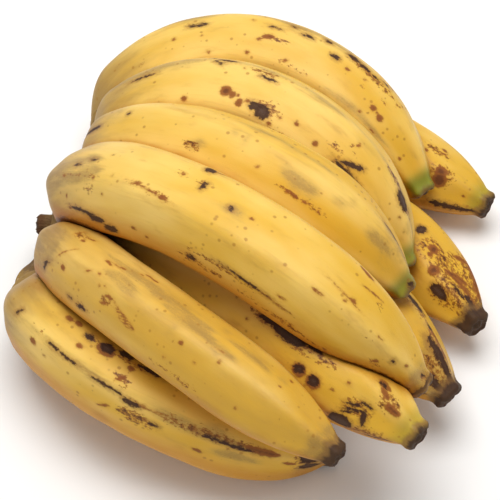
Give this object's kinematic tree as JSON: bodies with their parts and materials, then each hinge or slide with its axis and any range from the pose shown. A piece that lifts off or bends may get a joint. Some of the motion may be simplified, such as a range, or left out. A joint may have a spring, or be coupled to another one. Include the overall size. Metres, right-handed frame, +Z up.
{
  "type": "hand of plantains",
  "caption": "Hand of ripe yellow plantains joined at a short woody crown, two rows of curved ridged fingers, lying on a table with the backs up.",
  "frame": {"origin": "on the table, under the middle of the hand's bounding box", "axes": "+X from the crown to the tips, +Y to the side of outer_finger_1, +Z up"},
  "size_m": [0.2578, 0.2462, 0.1329],
  "materials": {
    "ripe_peel": "smooth waxy yellow banana peel with brown spots, satin",
    "crown_wood": "dry brown fibrous stalk, matt"
  },
  "bodies": {
    "root": {"crown": "crown_wood", "outer_finger_1": "ripe_peel", "outer_finger_2": "ripe_peel", "outer_finger_3": "ripe_peel", "outer_finger_4": "ripe_peel", "outer_finger_5": "ripe_peel", "outer_finger_6": "ripe_peel", "inner_finger_1": "ripe_peel", "inner_finger_2": "ripe_peel", "inner_finger_3": "ripe_peel", "inner_finger_4": "ripe_peel", "inner_finger_5": "ripe_peel"}
  },
  "joints": []
}
